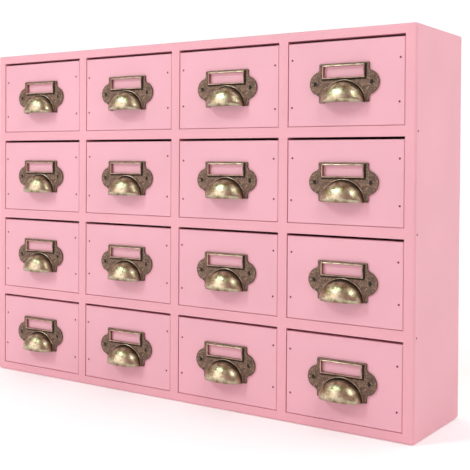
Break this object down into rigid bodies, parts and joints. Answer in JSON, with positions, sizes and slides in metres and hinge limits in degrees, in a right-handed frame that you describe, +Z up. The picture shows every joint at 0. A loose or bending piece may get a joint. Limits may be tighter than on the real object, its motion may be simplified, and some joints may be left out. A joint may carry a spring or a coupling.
{
  "type": "sewing thread drawer cabinet",
  "caption": "Low, wide tabletop cabinet of small drawers in a grid, painted pink, each drawer with an antique bronze cup pull that also frames a label.",
  "frame": {"origin": "middle of the carcass's bottom face", "axes": "+X to the right seen from the front, +Y from the drawer fronts to the back, +Z up"},
  "size_m": [0.6, 0.1427, 0.42],
  "materials": {
    "frame_paint": "satin paint, pink",
    "front_paint": "satin paint, pale pink",
    "bare_plywood": "bare, sanded",
    "antique_bronze": "antique bronze, rubbed bright on the cup and the rim"
  },
  "bodies": {
    "carcass": {"side_left": "frame_paint", "side_right": "frame_paint", "top_board": "frame_paint", "bottom_board": "frame_paint", "back_panel": "bare_plywood", "shelf_1": "frame_paint", "shelf_2": "frame_paint", "shelf_3": "frame_paint", "divider_1": "frame_paint", "divider_2": "frame_paint", "divider_3": "frame_paint"},
    "drawer_r1c1": {"drawer_front_r1c1": "front_paint", "drawer_tray_r1c1": "bare_plywood", "pull_r1c1": "antique_bronze"},
    "drawer_r1c2": {"drawer_front_r1c2": "front_paint", "drawer_tray_r1c2": "bare_plywood", "pull_r1c2": "antique_bronze"},
    "drawer_r1c3": {"drawer_front_r1c3": "front_paint", "drawer_tray_r1c3": "bare_plywood", "pull_r1c3": "antique_bronze"},
    "drawer_r1c4": {"drawer_front_r1c4": "front_paint", "drawer_tray_r1c4": "bare_plywood", "pull_r1c4": "antique_bronze"},
    "drawer_r2c1": {"drawer_front_r2c1": "front_paint", "drawer_tray_r2c1": "bare_plywood", "pull_r2c1": "antique_bronze"},
    "drawer_r2c2": {"drawer_front_r2c2": "front_paint", "drawer_tray_r2c2": "bare_plywood", "pull_r2c2": "antique_bronze"},
    "drawer_r2c3": {"drawer_front_r2c3": "front_paint", "drawer_tray_r2c3": "bare_plywood", "pull_r2c3": "antique_bronze"},
    "drawer_r2c4": {"drawer_front_r2c4": "front_paint", "drawer_tray_r2c4": "bare_plywood", "pull_r2c4": "antique_bronze"},
    "drawer_r3c1": {"drawer_front_r3c1": "front_paint", "drawer_tray_r3c1": "bare_plywood", "pull_r3c1": "antique_bronze"},
    "drawer_r3c2": {"drawer_front_r3c2": "front_paint", "drawer_tray_r3c2": "bare_plywood", "pull_r3c2": "antique_bronze"},
    "drawer_r3c3": {"drawer_front_r3c3": "front_paint", "drawer_tray_r3c3": "bare_plywood", "pull_r3c3": "antique_bronze"},
    "drawer_r3c4": {"drawer_front_r3c4": "front_paint", "drawer_tray_r3c4": "bare_plywood", "pull_r3c4": "antique_bronze"},
    "drawer_r4c1": {"drawer_front_r4c1": "front_paint", "drawer_tray_r4c1": "bare_plywood", "pull_r4c1": "antique_bronze"},
    "drawer_r4c2": {"drawer_front_r4c2": "front_paint", "drawer_tray_r4c2": "bare_plywood", "pull_r4c2": "antique_bronze"},
    "drawer_r4c3": {"drawer_front_r4c3": "front_paint", "drawer_tray_r4c3": "bare_plywood", "pull_r4c3": "antique_bronze"},
    "drawer_r4c4": {"drawer_front_r4c4": "front_paint", "drawer_tray_r4c4": "bare_plywood", "pull_r4c4": "antique_bronze"}
  },
  "joints": [
    {"name": "slide_r1c1", "type": "slide", "parent": "carcass", "child": "drawer_r1c1", "axis": [0, -1, 0], "range_m": [0, 0.09]},
    {"name": "slide_r1c2", "type": "slide", "parent": "carcass", "child": "drawer_r1c2", "axis": [0, -1, 0], "range_m": [0, 0.09]},
    {"name": "slide_r1c3", "type": "slide", "parent": "carcass", "child": "drawer_r1c3", "axis": [0, -1, 0], "range_m": [0, 0.09]},
    {"name": "slide_r1c4", "type": "slide", "parent": "carcass", "child": "drawer_r1c4", "axis": [0, -1, 0], "range_m": [0, 0.09]},
    {"name": "slide_r2c1", "type": "slide", "parent": "carcass", "child": "drawer_r2c1", "axis": [0, -1, 0], "range_m": [0, 0.09]},
    {"name": "slide_r2c2", "type": "slide", "parent": "carcass", "child": "drawer_r2c2", "axis": [0, -1, 0], "range_m": [0, 0.09]},
    {"name": "slide_r2c3", "type": "slide", "parent": "carcass", "child": "drawer_r2c3", "axis": [0, -1, 0], "range_m": [0, 0.09]},
    {"name": "slide_r2c4", "type": "slide", "parent": "carcass", "child": "drawer_r2c4", "axis": [0, -1, 0], "range_m": [0, 0.09]},
    {"name": "slide_r3c1", "type": "slide", "parent": "carcass", "child": "drawer_r3c1", "axis": [0, -1, 0], "range_m": [0, 0.09]},
    {"name": "slide_r3c2", "type": "slide", "parent": "carcass", "child": "drawer_r3c2", "axis": [0, -1, 0], "range_m": [0, 0.09]},
    {"name": "slide_r3c3", "type": "slide", "parent": "carcass", "child": "drawer_r3c3", "axis": [0, -1, 0], "range_m": [0, 0.09]},
    {"name": "slide_r3c4", "type": "slide", "parent": "carcass", "child": "drawer_r3c4", "axis": [0, -1, 0], "range_m": [0, 0.09]},
    {"name": "slide_r4c1", "type": "slide", "parent": "carcass", "child": "drawer_r4c1", "axis": [0, -1, 0], "range_m": [0, 0.09]},
    {"name": "slide_r4c2", "type": "slide", "parent": "carcass", "child": "drawer_r4c2", "axis": [0, -1, 0], "range_m": [0, 0.09]},
    {"name": "slide_r4c3", "type": "slide", "parent": "carcass", "child": "drawer_r4c3", "axis": [0, -1, 0], "range_m": [0, 0.09]},
    {"name": "slide_r4c4", "type": "slide", "parent": "carcass", "child": "drawer_r4c4", "axis": [0, -1, 0], "range_m": [0, 0.09]}
  ]
}
